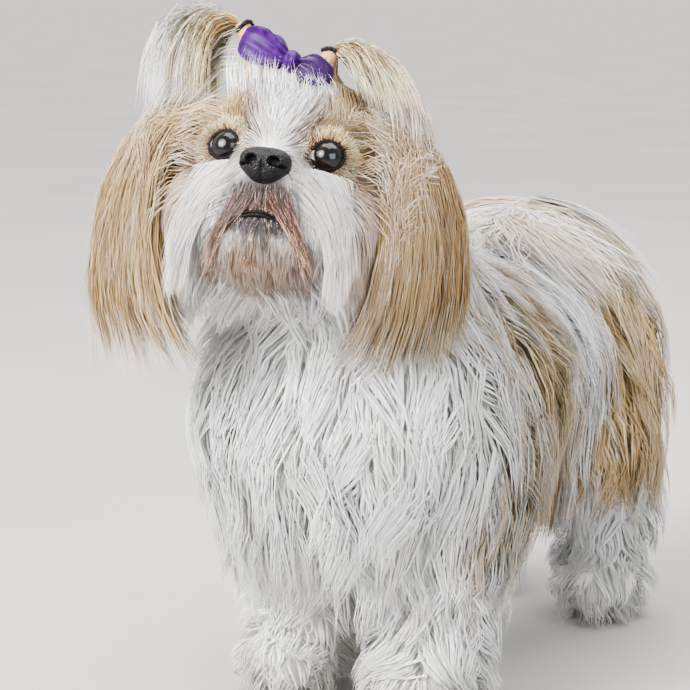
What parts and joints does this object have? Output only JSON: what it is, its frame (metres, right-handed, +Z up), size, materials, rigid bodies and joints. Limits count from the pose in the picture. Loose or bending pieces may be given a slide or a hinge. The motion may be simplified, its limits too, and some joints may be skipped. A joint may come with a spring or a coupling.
{
  "type": "shih tzu figure",
  "caption": "Life-size still museum-style figure of a shih tzu standing in long coat, head raised and turned, hair tied up with bands and a bow.",
  "frame": {"origin": "centre of the bounding box in x and y, on the floor plane under the paws", "axes": "+Z up, the dog faces -Y with its body along Y, +X is the dog's left side"},
  "size_m": [0.2424, 0.4558, 0.3958],
  "materials": {
    "coat_head": "long silky hair, soft sheen",
    "coat_muzzle": "long silky hair, soft sheen",
    "coat_lower_jaw": "long silky hair, soft sheen",
    "coat_neck": "long silky hair, soft sheen",
    "coat_chest": "long silky hair, soft sheen",
    "coat_torso": "long silky hair, soft sheen",
    "coat_rump": "long silky hair, soft sheen",
    "coat_tail": "long silky hair, soft sheen",
    "coat_leg_front_left": "long silky hair, soft sheen",
    "coat_leg_front_right": "long silky hair, soft sheen",
    "coat_leg_hind_left": "long silky hair, soft sheen",
    "coat_leg_hind_right": "long silky hair, soft sheen",
    "coat_ear_left": "long silky hair, soft sheen",
    "coat_ear_right": "long silky hair, soft sheen",
    "coat_topknot_left": "long silky hair, soft sheen",
    "coat_topknot_right": "long silky hair, soft sheen",
    "nose_leather": "moist black, fine grain",
    "eye": "clear gloss over dark brown",
    "hair_band": "black elastic",
    "bow": "purple satin"
  },
  "bodies": {
    "root": {"head": "coat_head", "muzzle": "coat_muzzle", "lower_jaw": "coat_lower_jaw", "neck": "coat_neck", "chest": "coat_chest", "torso": "coat_torso", "rump": "coat_rump", "tail": "coat_tail", "leg_front_left": "coat_leg_front_left", "leg_front_right": "coat_leg_front_right", "leg_hind_left": "coat_leg_hind_left", "leg_hind_right": "coat_leg_hind_right", "ear_left": "coat_ear_left", "ear_right": "coat_ear_right", "topknot_left": "coat_topknot_left", "topknot_right": "coat_topknot_right", "nose": "nose_leather", "eye_left": "eye", "eye_right": "eye", "hair_band_left": "hair_band", "hair_band_right": "hair_band", "bow_loop_left": "bow", "bow_loop_right": "bow", "bow_knot": "bow"}
  },
  "joints": []
}
